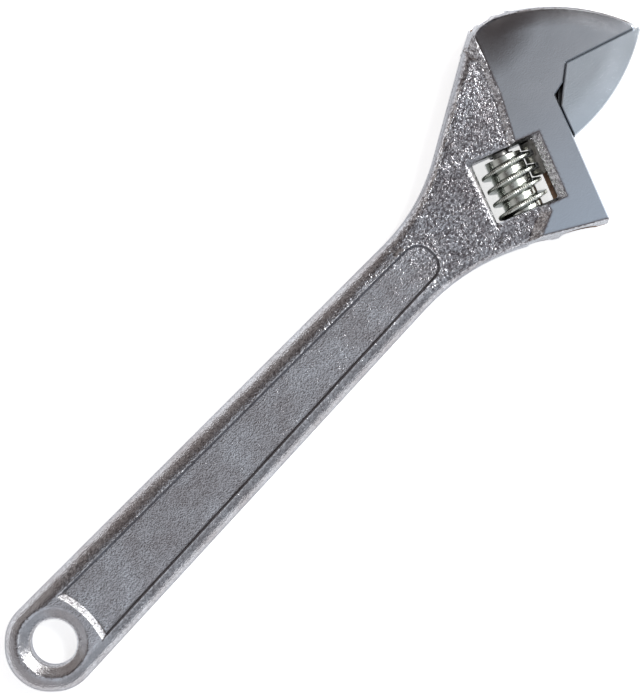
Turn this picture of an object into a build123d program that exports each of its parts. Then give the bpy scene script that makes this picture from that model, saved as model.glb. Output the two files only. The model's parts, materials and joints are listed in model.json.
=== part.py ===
from build123d import *
import math
import os

# Adjustable wrench of the 200 mm class, jaws closed. Millimetres.
# Part frame: origin on the hanging hole's axis at mid thickness, +X along the handle to
# the head, +Y to the fixed jaw's side, +Z out of the face.
# Sizes named BACK are measured from the mouth's inner corner towards the hanging hole.
# Head frame: origin at the inner corner of the mouth, turned by HEAD_ANGLE. Its first axis
# (depth) points out of the slide face, its second (rise) points to the fixed jaw, so the
# sliding jaw opens along minus rise.

# Handle
HOLE_RADIUS = 5.3
FLARE_WIDTH = 2.5
FLARE_DEPTH = 1.6
FLARE_BREAK = 0.45
FLARE_SHOULDER = 1.6
END_REACH = 11.9
END_HALF_WIDTH = 10.95
END_CUT = 6.8
END_CORNER = 10.0
NECK_BACK = 39.72
NECK_SKEW = 0.3
NECK_HALF_WIDTH = 8.28
NECK_RADIUS_LEFT = 43.0
NECK_RADIUS_RIGHT = 50.0
HANDLE_THICKNESS = 7.4
EDGE_ROUNDING = 4.0
FORGING_DRAFT = 10.0

# Sunk panel on both faces of the handle
PANEL_DEPTH = 1.0
PANEL_WALL = 28.0
PANEL_START_X = 10.7
PANEL_RAMP = 52.0
PANEL_END_ARC = 23.0
PANEL_END_BACK = 44.92
PANEL_HALF_START = 6.6
PANEL_HALF_END = 4.1
PANEL_SHIFT = -0.55
PANEL_CORNER = 3.6

# Head
THROAT_X = 167.82
THROAT_Y = 4.06
HEAD_ANGLE = 22.5
HEAD_THICKNESS = 13.0
CHEEK_THICKNESS = 11.5
CHEEK_RISE_BACK = 43.82
CHEEK_TOP_BACK = 15.82
CHEEK_BLEND = 60.0
SLIDE_LENGTH = 31.8
CROWN_DEPTH = -10.7
CROWN_RISE = 22.66
CROWN_RADIUS = 10.3
BACK_RADIUS = 43.8
NOSE_DEPTH = 23.6
NOSE_WIDTH = 1.3
ROOT_DEPTH = 5.12
ROOT_RISE = 5.64
FACE_LEAN = 3.0
KNEE_SHARE = 0.55
KNEE_GAP = 0.2
PAD_WIDTH = 11.3
PAD_BEND_RISE = 5.0
PAD_STEP = 1.3
PAD_SILL = 2.4
PAD_SLOPE = 60.0
PAD_SINK = 0.6
STRAP_LAP = 2.0
MOUTH_STOCK = 8.0
EDGE_BREAK = 0.3
RIM_ROUNDING = 0.6

# Window for the worm
WINDOW_RIGHT = 8.48
WINDOW_WIDTH = 14.9
WINDOW_TOP = 6.8
WINDOW_LENGTH = 14.6
WINDOW_CORNER = 0.5
BEVEL_LEVEL = 4.7
BEVEL_SLOPE = 45.0
BEVEL_END_SLOPE = 20.0

# Worm, its pin and its spring
WORM_RADIUS = 6.3
WORM_CORE = 4.35
WORM_LENGTH = 13.4
WORM_AXIS = 15.95
WORM_LEAD = 3.2
THREAD_CREST = 1.1
THREAD_ROOT = 1.6
THREAD_AT = 9.3
THREAD_RUNOUT = 0.17
THREAD_SINK = 0.4
END_PLAY = 0.1
PIN_RADIUS = 2.0
PIN_CLEARANCE = 0.06
SEAT_CLEARANCE = 0.03
PIN_SEAT = 4.8
PIN_HEAD_RADIUS = 2.7
PIN_HEAD_WALL = 1.89
PIN_HEAD_SUNK = 1.0
PIN_END_GAP = 0.3
PIN_CHAMFER = 0.4
SLOT_WIDTH = 0.8
SLOT_DEPTH = 1.1
SPRING_WIRE = 0.5
SPRING_WIRE_SIDES = 6
SPRING_RADIUS = 2.52
SPRING_PITCH = 1.02
SPRING_SEAT_GAP = 0.05
SPRING_POCKET = 2.95
POCKET_DEPTH = 4.2

# Sliding jaw
RAIL_RADIUS = 4.6
RAIL_AXIS = 6.7
RAIL_HOLD = 5.3
RAIL_BACK = 15.0
RAIL_CHAMFER = 0.5
RAIL_CLEARANCE = 0.12
WEB_THICKNESS = 4.2
WEB_CLEARANCE = 0.12
WEB_LAP = 1.0
SLIT_END_GAP = 0.5
HEEL = 10.43
BASE_FRONT = 2.81
BASE_GAP = 0.25
FACE_GAP = 0.15
JAW_BACK_RADIUS = 43.0
JAW_TIP_BACK = 0.2
JAW_TIP_WIDTH = 0.8
RACK_CLEARANCE = 0.12
RACK_TIP_CLEARANCE = 0.25
TRAVEL = 24.0

# Reach of cuts that run out of the part
FAR = 200.0

os.makedirs("parts", exist_ok=True)

HEAD = Pos(THROAT_X, THROAT_Y, 0) * Rot(0, 0, -HEAD_ANGLE)
HEAD_HALF = HEAD_THICKNESS / 2
HANDLE_HALF = HANDLE_THICKNESS / 2
COS_HEAD = math.cos(math.radians(HEAD_ANGLE))
SIN_HEAD = math.sin(math.radians(HEAD_ANGLE))


def head_point(depth, rise):
    x = THROAT_X + depth * COS_HEAD + rise * SIN_HEAD
    y = THROAT_Y - depth * SIN_HEAD + rise * COS_HEAD
    return (x, y)


def to_head(x, y):
    dx = x - THROAT_X
    dy = y - THROAT_Y
    return (dx * COS_HEAD - dy * SIN_HEAD, dx * SIN_HEAD + dy * COS_HEAD)


def round_corner(sketch, point, radius):
    corner = sketch.vertices().sort_by_distance((point[0], point[1], 0))[0]
    return fillet(corner, radius)


def face_rise(depth):
    return ROOT_RISE + (depth - ROOT_DEPTH) * math.tan(math.radians(FACE_LEAN))


# Forging: a drafted blank, thinned to a strap along the handle, with a full-height head pad
neck_x = THROAT_X - NECK_BACK
taper_rate = (END_HALF_WIDTH - NECK_HALF_WIDTH) / neck_x
shoulder_x = -END_REACH + END_CUT
shoulder_half = END_HALF_WIDTH - shoulder_x * taper_rate
shoulder_left = (shoulder_x, shoulder_half)
shoulder_right = (shoulder_x, -shoulder_half)
end_left = (-END_REACH, shoulder_half - END_CUT)
end_right = (-END_REACH, END_CUT - shoulder_half)
neck_left = (neck_x + NECK_SKEW, NECK_HALF_WIDTH)
neck_right = (neck_x - NECK_SKEW, -NECK_HALF_WIDTH)
crown = head_point(CROWN_DEPTH, CROWN_RISE)
nose_rise = face_rise(NOSE_DEPTH) + NOSE_WIDTH
nose = head_point(NOSE_DEPTH, nose_rise)
nose_low = head_point(NOSE_DEPTH, nose_rise - MOUTH_STOCK)
neck_right_head = to_head(neck_right[0], neck_right[1])
flank_rate = (-SLIDE_LENGTH - neck_right_head[1]) / (0 - neck_right_head[0])
corner_out = head_point(MOUTH_STOCK, -SLIDE_LENGTH + MOUTH_STOCK * flank_rate)

outline = make_face(
    [
        Line(end_left, end_right),
        Line(end_right, shoulder_right),
        Line(shoulder_right, neck_right),
        Line(neck_right, corner_out),
        Line(corner_out, nose_low),
        Line(nose_low, nose),
        RadiusArc(nose, crown, -BACK_RADIUS),
        Line(crown, neck_left),
        Line(neck_left, shoulder_left),
        Line(shoulder_left, end_left),
    ]
)
for corner in (end_left, end_right, shoulder_left, shoulder_right):
    outline = round_corner(outline, corner, END_CORNER)
outline = round_corner(outline, neck_left, NECK_RADIUS_LEFT)
outline = round_corner(outline, neck_right, NECK_RADIUS_RIGHT)
outline = round_corner(outline, crown, CROWN_RADIUS)

blank = extrude(outline, HEAD_HALF, dir=(0, 0, 1), taper=FORGING_DRAFT)

cheek_half = CHEEK_THICKNESS / 2
cheek_rise_x = THROAT_X - CHEEK_RISE_BACK
cheek_top_x = THROAT_X - CHEEK_TOP_BACK
side_view = Plane.XZ * make_face(
    Polyline(
        (-FAR, -1),
        (2 * FAR, -1),
        (2 * FAR, cheek_half),
        (cheek_top_x, cheek_half),
        (cheek_rise_x, HANDLE_HALF),
        (-FAR, HANDLE_HALF),
        close=True,
    )
)
bend_low = side_view.vertices().sort_by_distance((cheek_rise_x, 0, HANDLE_HALF))[0]
side_view = fillet(bend_low, CHEEK_BLEND)
bend_high = side_view.vertices().sort_by_distance((cheek_top_x, 0, cheek_half))[0]
side_view = fillet(bend_high, CHEEK_BLEND)
side_prism = extrude(side_view, FAR, both=True)
strap_end = -RAIL_AXIS + STRAP_LAP
strap_limit = HEAD * (Pos(strap_end - FAR, 0, 0) * Box(2 * FAR, 2 * FAR, FAR))
strap = blank & side_prism & strap_limit

walls = [f for f in strap.faces() if abs(f.normal_at().Z) < 0.5]
tops = [f for f in strap.faces() if f.normal_at().Z > 0.5]
rims = []
for top in tops:
    for edge in top.edges():
        middle = edge.position_at(0.5)
        depth = to_head(middle.X, middle.Y)[0]
        on_wall = any(edge == other for wall in walls for other in wall.edges())
        if on_wall and depth < strap_end - 0.05 * STRAP_LAP:
            rims.append(edge)
strap = fillet(rims, EDGE_ROUNDING)

pad_drop = HEAD_HALF - cheek_half + PAD_SINK
pad_low = (-PAD_WIDTH, -WINDOW_TOP - WINDOW_LENGTH - PAD_SILL)
pad_outline = make_face(
    Polyline(
        (-PAD_WIDTH, FAR),
        (-PAD_WIDTH, PAD_BEND_RISE),
        (-PAD_WIDTH - PAD_STEP, -WINDOW_TOP),
        pad_low,
        (pad_low[0] - FAR, pad_low[1] - FAR),
        (FAR, pad_low[1] - FAR),
        (FAR, FAR),
        close=True,
    )
)
pad_top = extrude(Pos(0, 0, HEAD_HALF) * pad_outline, pad_drop, dir=(0, 0, -1), taper=-PAD_SLOPE)
pad_foot = extrude(pad_top.faces().sort_by(Axis.Z)[0], HEAD_HALF, dir=(0, 0, -1))
pad = HEAD * (pad_top + pad_foot)
half_body = strap + (blank & pad)
forging = half_body + mirror(half_body, Plane.XY)

# Mouth, window, bores and slit in the head; the throat stands close to the jaw above its knee
jaw_base = (BASE_GAP, -BASE_FRONT)
jaw_root = (ROOT_DEPTH, ROOT_RISE - FACE_GAP)
root_run = jaw_root[0] - jaw_base[0]
root_climb = jaw_root[1] - jaw_base[1]
root_length = math.hypot(root_run, root_climb)
knee = (
    jaw_base[0] + KNEE_SHARE * root_run - KNEE_GAP * root_climb / root_length,
    jaw_base[1] + KNEE_SHARE * root_climb + KNEE_GAP * root_run / root_length,
)
mouth = extrude(
    make_face(
        Polyline(
            (0, 0),
            (0, -FAR),
            (FAR, -FAR),
            (FAR, face_rise(FAR)),
            (ROOT_DEPTH, ROOT_RISE),
            knee,
            close=True,
        )
    ),
    FAR,
    both=True,
)
window_middle = (-WINDOW_RIGHT - WINDOW_WIDTH / 2, -WINDOW_TOP - WINDOW_LENGTH / 2)
window_face = Pos(window_middle[0], window_middle[1], 0) * RectangleRounded(
    WINDOW_WIDTH, WINDOW_LENGTH, WINDOW_CORNER
)
window = extrude(window_face, FAR, both=True)
bevel_height = HEAD_HALF - BEVEL_LEVEL + PAD_SINK
bevel_wide = WINDOW_WIDTH + 2 * bevel_height * math.tan(math.radians(BEVEL_SLOPE))
bevel_long = WINDOW_LENGTH + 2 * bevel_height * math.tan(math.radians(BEVEL_END_SLOPE))
bevel_foot = Pos(window_middle[0], window_middle[1], BEVEL_LEVEL)
bevel_top = Pos(window_middle[0], window_middle[1], BEVEL_LEVEL + bevel_height)
bevel = loft(
    [bevel_foot * Rectangle(WINDOW_WIDTH, WINDOW_LENGTH), bevel_top * Rectangle(bevel_wide, bevel_long)],
    ruled=True,
)
window += bevel + mirror(bevel, Plane.XY)

rail_bore = Pos(-RAIL_AXIS, 0, 0) * Rot(90, 0, 0) * Cylinder(
    RAIL_RADIUS + RAIL_CLEARANCE, 2 * FAR
)
slit_top = -BASE_FRONT + SLIT_END_GAP
slit_width = WEB_THICKNESS + 2 * WEB_CLEARANCE
slit = Pos((MOUTH_STOCK - RAIL_AXIS) / 2, slit_top - FAR / 2, 0) * Box(
    RAIL_AXIS + MOUTH_STOCK, FAR, slit_width
)

pin_bottom = -SLIDE_LENGTH - WORM_AXIS * flank_rate + PIN_HEAD_SUNK
pin_top = -WINDOW_TOP + PIN_SEAT
pin_hole_length = pin_top - pin_bottom + PIN_END_GAP
pin_hole = Cylinder(PIN_RADIUS + SEAT_CLEARANCE, pin_hole_length)
pin_hole = Pos(-WORM_AXIS, pin_bottom + pin_hole_length / 2, 0) * Rot(90, 0, 0) * pin_hole
head_hole_top = -WINDOW_TOP - WINDOW_LENGTH - PIN_HEAD_WALL
head_hole = Cylinder(PIN_HEAD_RADIUS + SEAT_CLEARANCE, FAR)
head_hole = Pos(-WORM_AXIS, head_hole_top - FAR / 2, 0) * Rot(90, 0, 0) * head_hole
forging -= HEAD * mouth


def on_line(point, start, finish):
    across = (point[0] - start[0]) * (finish[1] - start[1]) - (point[1] - start[1]) * (finish[0] - start[0])
    return abs(across) < 1e-3


def ground_edges(shape):
    cut_edges = []
    rim_edges = []
    for flat in shape.faces():
        if abs(flat.normal_at().Z) < 0.999 or abs(abs(flat.center().Z) - HEAD_HALF) > 1e-6:
            continue
        for edge in flat.edges():
            middle = edge.position_at(0.5)
            depth, rise = to_head(middle.X, middle.Y)
            on_slide = abs(depth) < 1e-4
            below_knee = on_line((depth, rise), (0, 0), knee)
            above_knee = on_line((depth, rise), knee, (ROOT_DEPTH, ROOT_RISE))
            on_face = abs(rise - face_rise(depth)) < 1e-4
            above_pad = rise > 0 and depth > -PAD_WIDTH + 0.01
            below_pad = rise < pad_low[1] - 0.5 and depth > -PAD_WIDTH
            if on_slide or below_knee or above_knee or on_face:
                cut_edges.append(edge)
            elif above_pad or below_pad:
                rim_edges.append(edge)
    return cut_edges, rim_edges


forging = fillet(ground_edges(forging)[1], RIM_ROUNDING)
forging = chamfer(ground_edges(forging)[0], EDGE_BREAK)
forging -= HEAD * slit
forging -= HEAD * window
forging -= HEAD * rail_bore
forging -= HEAD * pin_hole
forging -= HEAD * head_hole

# Hanging hole and sunk panels
hole_land = HANDLE_HALF - FLARE_DEPTH
flare_top = HANDLE_HALF + FLARE_DEPTH
flare_radius = HOLE_RADIUS + 2 * FLARE_WIDTH
hole_profile = make_face(
    Polyline(
        (0, -flare_top),
        (flare_radius, -flare_top),
        (HOLE_RADIUS, -hole_land),
        (HOLE_RADIUS, hole_land),
        (flare_radius, flare_top),
        (0, flare_top),
        close=True,
    )
)
for level in (-hole_land, hole_land):
    corner = hole_profile.vertices().sort_by_distance((HOLE_RADIUS, level, 0))[0]
    hole_profile = chamfer(corner, FLARE_BREAK)
forging -= revolve(Plane.XZ * hole_profile, Axis.Z)


def on_flare_shoulder(edge):
    middle = edge.position_at(0.5)
    above_land = abs(middle.Z) - hole_land
    cone_radius = HOLE_RADIUS + above_land * FLARE_WIDTH / FLARE_DEPTH
    outside = above_land > FLARE_DEPTH / 2
    return outside and abs(math.hypot(middle.X, middle.Y) - cone_radius) < 1e-3


forging = fillet(forging.edges().filter_by(on_flare_shoulder), FLARE_SHOULDER)

panel_end_x = THROAT_X - PANEL_END_BACK
panel_taper = (PANEL_HALF_START - PANEL_HALF_END) / (panel_end_x - PANEL_START_X)
panel_half_low = PANEL_HALF_START + panel_taper * PANEL_START_X
panel_end_low = (panel_end_x, PANEL_SHIFT - PANEL_HALF_END)
panel_end_high = (panel_end_x, PANEL_SHIFT + PANEL_HALF_END)
panel_outline = make_face(
    Polyline(
        (0, PANEL_SHIFT - panel_half_low),
        panel_end_low,
        panel_end_high,
        (0, PANEL_SHIFT + panel_half_low),
        close=True,
    )
)
panel_outline = round_corner(panel_outline, panel_end_low, PANEL_CORNER)
panel_outline = round_corner(panel_outline, panel_end_high, PANEL_CORNER)
panel_floor = HANDLE_HALF - PANEL_DEPTH
panel = extrude(Pos(0, 0, panel_floor) * panel_outline, 2 * PANEL_DEPTH, taper=-PANEL_WALL)
ramp_run = 2 * PANEL_DEPTH * math.tan(math.radians(PANEL_RAMP))
ramp = Cone(PANEL_END_ARC, PANEL_END_ARC - ramp_run, 2 * PANEL_DEPTH)
panel -= Pos(PANEL_START_X - PANEL_END_ARC, PANEL_SHIFT, panel_floor + PANEL_DEPTH) * ramp
panel = panel.solids().sort_by(Axis.X)[-1]
forging -= panel
forging -= mirror(panel, Plane.XY)

# Sliding jaw: blade, web and toothed rail
jaw_tip_depth = NOSE_DEPTH - JAW_TIP_BACK
jaw_tip = (jaw_tip_depth, face_rise(jaw_tip_depth) - FACE_GAP)
jaw_tip_low = (jaw_tip_depth, jaw_tip[1] - JAW_TIP_WIDTH)
blade_outline = make_face(
    [
        Line(jaw_base, jaw_root),
        Line(jaw_root, jaw_tip),
        Line(jaw_tip, jaw_tip_low),
        RadiusArc(jaw_tip_low, (BASE_GAP, -HEEL), JAW_BACK_RADIUS),
        Line((BASE_GAP, -HEEL), jaw_base),
    ]
)
blade = extrude(blade_outline, HEAD_HALF, both=True)
blade_rims = blade.edges().filter_by(lambda e: abs(abs(e.position_at(0.5).Z) - HEAD_HALF) < 1e-6)
blade = chamfer(blade_rims, EDGE_BREAK)
web_length = HEEL - BASE_FRONT
web = Pos((WEB_LAP - RAIL_AXIS) / 2, -BASE_FRONT - web_length / 2, 0) * Box(
    RAIL_AXIS + WEB_LAP, web_length, WEB_THICKNESS
)
worm_bottom = -WINDOW_TOP - WINDOW_LENGTH + END_PLAY
rail_front = worm_bottom + RAIL_HOLD + TRAVEL
rail_length = rail_front + RAIL_BACK
rail = Cylinder(RAIL_RADIUS, rail_length)
rail = chamfer(rail.edges().filter_by(GeomType.CIRCLE), RAIL_CHAMFER)
rail = Pos(-RAIL_AXIS, (rail_front - RAIL_BACK) / 2, 0) * Rot(90, 0, 0) * rail
jaw = blade + web + rail

# Rack grooves follow the worm's helix where it faces the rail
mesh_radius = (WORM_AXIS - RAIL_AXIS - RAIL_RADIUS + WORM_RADIUS) / 2
lead_angle = math.degrees(math.atan(WORM_LEAD / (2 * math.pi * mesh_radius)))
crest_depth = -WORM_AXIS + WORM_RADIUS
groove_floor = crest_depth + RACK_TIP_CLEARANCE
groove_mouth = -WORM_AXIS + WORM_CORE
flank_spread = (THREAD_ROOT - THREAD_CREST) / 2 / (WORM_RADIUS - WORM_CORE)
floor_half = THREAD_CREST / 2 + RACK_CLEARANCE
mouth_half = floor_half + flank_spread * (groove_floor - groove_mouth)
groove_outline = make_face(
    Polyline(
        (groove_floor, -floor_half),
        (groove_mouth, -mouth_half),
        (groove_mouth, mouth_half),
        (groove_floor, floor_half),
        close=True,
    )
)
groove = extrude(groove_outline, FAR, both=True)
first_groove = math.floor((-RAIL_BACK + THREAD_AT) / WORM_LEAD)
last_groove = math.ceil((rail_front + THREAD_AT) / WORM_LEAD)
for index in range(first_groove, last_groove + 1):
    rise = -THREAD_AT + index * WORM_LEAD
    jaw -= Pos(0, rise, 0) * Rot(lead_angle, 0, 0) * groove
jaw = HEAD * jaw

# Worm: threaded roller with a pocket for the spring at the fixed jaw's side
worm_top = worm_bottom + WORM_LENGTH
turns_below = math.ceil((-THREAD_AT - worm_bottom) / WORM_LEAD) + 1
helix = Helix(WORM_LEAD, (turns_below + THREAD_RUNOUT) * WORM_LEAD, WORM_CORE)
section_foot = WORM_CORE - THREAD_SINK
foot_half = THREAD_ROOT / 2 + THREAD_SINK * flank_spread
thread_section = Plane.XZ * make_face(
    Polyline(
        (section_foot, -foot_half),
        (WORM_RADIUS, -THREAD_CREST / 2),
        (WORM_RADIUS, THREAD_CREST / 2),
        (section_foot, foot_half),
        close=True,
    )
)
thread = sweep(thread_section, path=helix, is_frenet=True)
thread = Pos(0, 0, -THREAD_AT - turns_below * WORM_LEAD) * thread
worm_middle = (worm_top + worm_bottom) / 2
thread &= Pos(0, 0, worm_middle) * Cylinder(2 * WORM_RADIUS, WORM_LENGTH)
core = Pos(0, 0, worm_middle) * Cylinder(WORM_CORE, WORM_LENGTH)
worm = core + thread
worm -= Pos(0, 0, worm_middle) * Cylinder(PIN_RADIUS + PIN_CLEARANCE, FAR)
pocket_floor = worm_top - POCKET_DEPTH
worm -= Pos(0, 0, pocket_floor + POCKET_DEPTH) * Cylinder(SPRING_POCKET, 2 * POCKET_DEPTH)
WORM_FRAME = HEAD * Pos(-WORM_AXIS, 0, 0) * Rot(-90, 0, 0)
worm = WORM_FRAME * worm

# Pin with a slotted head, let in from the head's lower edge
pin = Pos(0, 0, (pin_top + pin_bottom) / 2) * Cylinder(PIN_RADIUS, pin_top - pin_bottom)
pin = chamfer(pin.edges().filter_by(GeomType.CIRCLE).sort_by(Axis.Z)[-1], PIN_CHAMFER)
pin_head = Cylinder(PIN_HEAD_RADIUS, head_hole_top - pin_bottom)
pin_head = Pos(0, 0, (head_hole_top + pin_bottom) / 2) * pin_head
pin_head = chamfer(pin_head.edges().filter_by(GeomType.CIRCLE).sort_by(Axis.Z)[0], EDGE_BREAK)
pin = pin + pin_head
pin -= Pos(0, 0, pin_bottom) * Box(4 * PIN_HEAD_RADIUS, SLOT_WIDTH, 2 * SLOT_DEPTH)
pin = WORM_FRAME * pin

# Spring between the pocket's floor and the window's wall, one tube on quarter-turn biarcs
coil_bottom = pocket_floor + SPRING_WIRE / 2 + SPRING_SEAT_GAP
coil_top = -WINDOW_TOP - SPRING_WIRE / 2 - SPRING_SEAT_GAP
quarters = math.floor(4 * (coil_top - coil_bottom) / SPRING_PITCH)
rise_per_quarter = (coil_top - coil_bottom) / quarters


def coil_point(quarter):
    angle = quarter * math.pi / 2
    return Vector(
        SPRING_RADIUS * math.cos(angle),
        SPRING_RADIUS * math.sin(angle),
        coil_bottom + rise_per_quarter * quarter,
    )


def coil_tangent(quarter):
    angle = quarter * math.pi / 2
    return Vector(
        -SPRING_RADIUS * math.sin(angle),
        SPRING_RADIUS * math.cos(angle),
        rise_per_quarter * 2 / math.pi,
    ).normalized()


coil_arcs = []
for quarter in range(quarters):
    start = coil_point(quarter)
    finish = coil_point(quarter + 1)
    leave = coil_tangent(quarter)
    arrive = coil_tangent(quarter + 1)
    chord = finish - start
    both = leave + arrive
    spread = 2 * (1 - leave.dot(arrive))
    reach = (math.sqrt(chord.dot(both) ** 2 + spread * chord.dot(chord)) - chord.dot(both)) / spread
    joint = (start + finish + (leave - arrive) * reach) / 2
    through = (finish - arrive * reach - start - leave * reach).normalized()
    coil_arcs.append(Edge.make_tangent_arc(start, leave, joint))
    coil_arcs.append(Edge.make_tangent_arc(joint, through, finish))
coil_path = Wire(coil_arcs)
coil_section = Plane(origin=coil_point(0), z_dir=coil_tangent(0)) * RegularPolygon(
    SPRING_WIRE / 2, SPRING_WIRE_SIDES
)
spring = sweep(coil_section, path=coil_path)
coil_samples = [coil_path.position_at(i / (quarters * 10)) for i in range(quarters * 10 + 1)]
coil_gap = min(
    (coil_samples[i] - coil_samples[j]).length - SPRING_WIRE
    for i in range(len(coil_samples))
    for j in range(i + 25, len(coil_samples))
)
print("spring turns", quarters / 4, "least gap to itself", round(coil_gap, 3))
spring = WORM_FRAME * spring


def save(shape, name):
    solids = shape.solids()
    print(name, len(solids), round(shape.volume, 1), shape.is_valid)
    export_step(shape, "parts/" + name + ".step")


save(forging, "forged_body")
save(jaw, "sliding_jaw")
save(worm, "adjusting_worm")
save(pin, "worm_pin")
save(spring, "worm_spring")
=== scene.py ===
import json
import math

import bmesh
import bpy
from mathutils import Matrix, Vector, kdtree, noise


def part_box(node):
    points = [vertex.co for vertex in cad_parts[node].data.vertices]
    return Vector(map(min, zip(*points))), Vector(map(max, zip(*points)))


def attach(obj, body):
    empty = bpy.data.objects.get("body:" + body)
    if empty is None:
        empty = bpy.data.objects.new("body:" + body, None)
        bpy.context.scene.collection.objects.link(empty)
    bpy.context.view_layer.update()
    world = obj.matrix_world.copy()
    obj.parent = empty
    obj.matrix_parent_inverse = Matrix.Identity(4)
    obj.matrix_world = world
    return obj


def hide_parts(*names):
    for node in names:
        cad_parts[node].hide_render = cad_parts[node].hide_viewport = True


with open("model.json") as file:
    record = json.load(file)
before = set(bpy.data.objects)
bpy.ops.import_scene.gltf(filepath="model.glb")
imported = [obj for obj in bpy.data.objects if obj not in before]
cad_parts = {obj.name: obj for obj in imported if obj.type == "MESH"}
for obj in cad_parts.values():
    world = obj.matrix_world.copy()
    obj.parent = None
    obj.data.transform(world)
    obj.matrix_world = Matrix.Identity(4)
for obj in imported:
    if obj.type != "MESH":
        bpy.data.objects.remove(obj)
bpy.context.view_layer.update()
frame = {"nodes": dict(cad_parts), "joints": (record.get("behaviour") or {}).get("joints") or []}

# Real sizes are written in millimetres and turned into the scene's metres by MM
MM = 0.001

# Head frame, from the worm's joint: depth points out of the slide face, rise to the fixed jaw
JOINTS = {joint["name"]: joint for joint in frame["joints"]}
WORM_AT = Vector(JOINTS["worm_spin"]["pos_m"])
RISE = Vector(JOINTS["worm_spin"]["axis"]).normalized()
DEPTH = Vector((RISE.y, -RISE.x, 0.0))
UP = Vector((0.0, 0.0, 1.0))

# Places in the head frame, measured from the worm's middle
SLIDE_DEPTH = 15.95
THROAT_RISE = 14.6
THROAT_END = 22.0
JAW_HEEL = 4.0
CROWN_RISE = 30.0
RAIL_DEPTH = 9.25
RAIL_BORE = 4.72
SLIT_HALF = 2.3
PIN_BORE = 2.8
PIN_SEAT_END = 12.8
WINDOW_HALF = 7.6
WINDOW_LEFT = -7.43
WINDOW_UPPER = 7.3
UPPER_END = 2.0
PAD_EDGE = 4.65
PAD_LOW = -9.2
PAD_BEND = 19.6
PAD_BEND_LENGTH = 11.8
PAD_STEP = 1.3
PAD_DROP = 1.35
PAD_SLOPE = math.radians(60.0)

# Levels above and below the middle plane
HEAD_LEVEL = 6.5
CHEEK_LEVEL = 5.75
BEVEL_UPPER = 4.75
BEVEL_LOW = 4.1
HANDLE_LEVEL = 3.7
PANEL_LEVEL = 2.7

# Places along the handle, from the hanging hole
RAMP_START = 8.0
RAMP_END = 13.0
PANEL_END = 127.0

# Surface kinds of the body and the jaw, in the order of their material slots; SHADE is
# near-black painted shade in the throat, in gaps and on most of the window's walls
FORGED, GROUND, WALL, BARE, SHADE = range(5)


def head_place(point):
    """Depth, rise and height of a point, in millimetres from the worm's middle."""
    away = point - WORM_AT
    return away.dot(DEPTH) / MM, away.dot(RISE) / MM, point.z / MM


def new_object(name, data):
    piece = bpy.data.objects.new(name, data)
    bpy.context.scene.collection.objects.link(piece)
    return piece


def mesh_data(name, mesh):
    """Blender's mesh from a finished bmesh."""
    data = bpy.data.meshes.new(name)
    mesh.to_mesh(data)
    mesh.free()
    return data


# Materials

# What rough plating sends back at a grazing look
GRAZING = (0.52, 0.54, 0.57, 1.0)

# Forged skin: colours, sizes of its marks and depths of its bumps
PATCH_COLOURS = [
    (0.35, (0.475, 0.46, 0.475)),
    (0.55, (0.555, 0.555, 0.58)),
    (0.7, (0.625, 0.635, 0.67)),
]
# Wear and painted highlight: light colour on outer edges, painted glints, the flank's painted
# sheen and the step's painted highlight
WEAR_AND_HIGHLIGHT_COLOUR = (0.85, 0.85, 0.87)
SPECK_COLOUR = (0.2, 0.19, 0.2)
PIT_COLOUR = (0.13, 0.115, 0.125)
# Painted shade: colour that darkens inner corners and the window's bevels
PAINTED_SHADE_COLOUR = (0.085, 0.075, 0.075)
PATCH_GRAIN = 7.0
UNEVEN_GRAIN = 2.6
CREASE_GRAIN = 1.1
PIT_GRAIN = 0.7
SPECK_GRAIN = 0.45
CRUMPLE_GRAIN = 0.31
FINE_GRAIN = 0.3
FINE_BUMP = 0.06
CREASE_BUMP = 0.2
CRUMPLE_BUMP = 0.075

# Ground faces
SCRATCH_ANGLE = math.radians(67.5)
SCRATCH_STRETCH = (1.0, 0.03, 1.0)
SCRATCH_GRAIN = 0.06
SCRATCH_BUMP = 0.006
GROUND_GRAIN = 0.3
GROUND_BUMP = 0.013
GROUND_CLOUDS = 8.0
GROUND_SHADE = 0.93
# Painted reflection: a cooler, bluer tint of the ground faces further from the fixed jaw
COOL_REFLECTION_GAINS = (1.05, 1.14, 1.22)
EDGE_COLOUR = (0.10, 0.065, 0.06)

# Smooth plating and bare steel
PLATING_CLOUDS = 2.2
PLATING_GRAIN = 0.35
PLATING_BUMP = 0.008
PLATING_SHADE = 0.86
PLATING_GLOSS = 0.4
STAIN_GRAIN = 1.6
BARE_GRAIN = 0.3
BARE_BUMP = 0.02


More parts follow.
